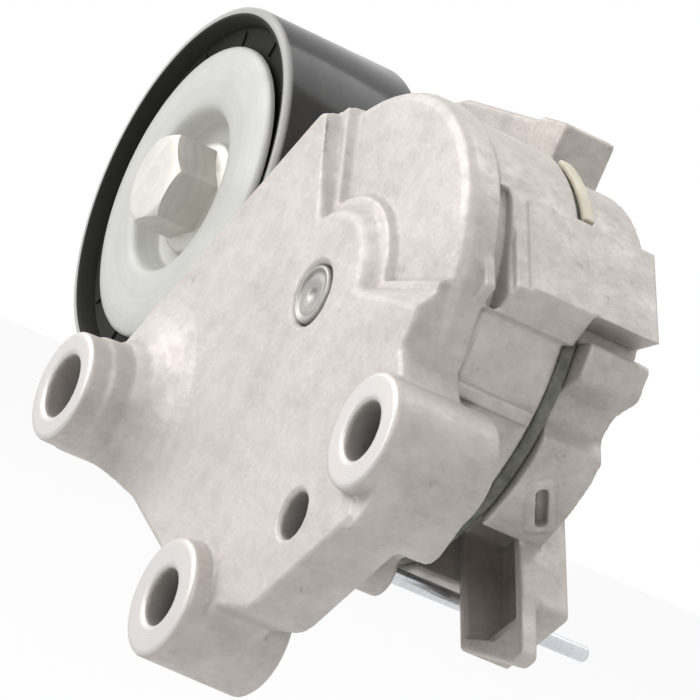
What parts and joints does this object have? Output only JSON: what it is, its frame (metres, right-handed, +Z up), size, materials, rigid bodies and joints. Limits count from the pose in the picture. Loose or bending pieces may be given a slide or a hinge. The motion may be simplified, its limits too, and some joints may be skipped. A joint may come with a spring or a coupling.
{
  "type": "drive belt tensioner pulley",
  "caption": "Automatic drive belt tensioner with cast aluminium base and arm, torsion spring, black idler pulley and locking pin.",
  "frame": {"origin": "on the arm's pivot axis, in the plane of the base plate's front face", "axes": "+Y along the pivot axis from the plate's front to the arm; +Z up; +X to the side of the base away from the pulley"},
  "size_m": [0.182, 0.0855, 0.118],
  "materials": {
    "cast_aluminium": "sand cast, satin",
    "turned_steel": "turned",
    "zinc_cap": "pale satin coating",
    "black_nylon": "moulded, satin",
    "cream_nylon": "moulded",
    "bronze_bush": "sintered",
    "dark_rubber": "matt"
  },
  "bodies": {
    "base": {"base_housing": "cast_aluminium", "pivot_shaft": "turned_steel", "thrust_washer": "black_nylon", "rear_washer": "turned_steel", "damper_band": "cream_nylon", "friction_ring": "black_nylon", "torsion_spring": "turned_steel"},
    "arm": {"arm": "cast_aluminium", "front_bush": "bronze_bush", "rear_bush": "bronze_bush", "dust_cap": "zinc_cap", "pulley_bolt": "turned_steel", "bearing_spacer": "turned_steel", "rear_shield": "turned_steel", "inner_race": "turned_steel"},
    "pulley": {"pulley_body": "black_nylon", "outer_race": "turned_steel", "front_seal": "dark_rubber", "rear_seal": "dark_rubber"},
    "cage": {"ball_cage": "black_nylon", "ball_1": "turned_steel", "ball_2": "turned_steel", "ball_3": "turned_steel", "ball_4": "turned_steel", "ball_5": "turned_steel", "ball_6": "turned_steel", "ball_7": "turned_steel", "ball_8": "turned_steel"},
    "pin": {"lock_pin": "turned_steel"}
  },
  "joints": [
    {"name": "arm_pivot", "type": "hinge", "parent": "base", "child": "arm", "pos_m": [0, 0, 0], "axis": [0, 1, 0], "range_deg": [-4.5, 0], "stiffness_Nm_per_rad": 20, "springref_deg": 51.57, "deforming": ["torsion_spring"]},
    {"name": "pulley_spin", "type": "hinge", "parent": "arm", "child": "pulley", "pos_m": [-0.0877, 0.0205, 0.0089], "axis": [0, 1, 0], "continuous": true},
    {"name": "cage_spin", "type": "hinge", "parent": "arm", "child": "cage", "pos_m": [-0.0877, 0.0205, 0.0089], "axis": [0, 1, 0], "continuous": true},
    {"name": "pin_slide", "type": "slide", "parent": "base", "child": "pin", "axis": [0, 1, 0], "range_m": [0, 0.052]}
  ],
  "couplings": [
    {"joint": "cage_spin", "follows": "pulley_spin", "ratio": 0.59}
  ]
}
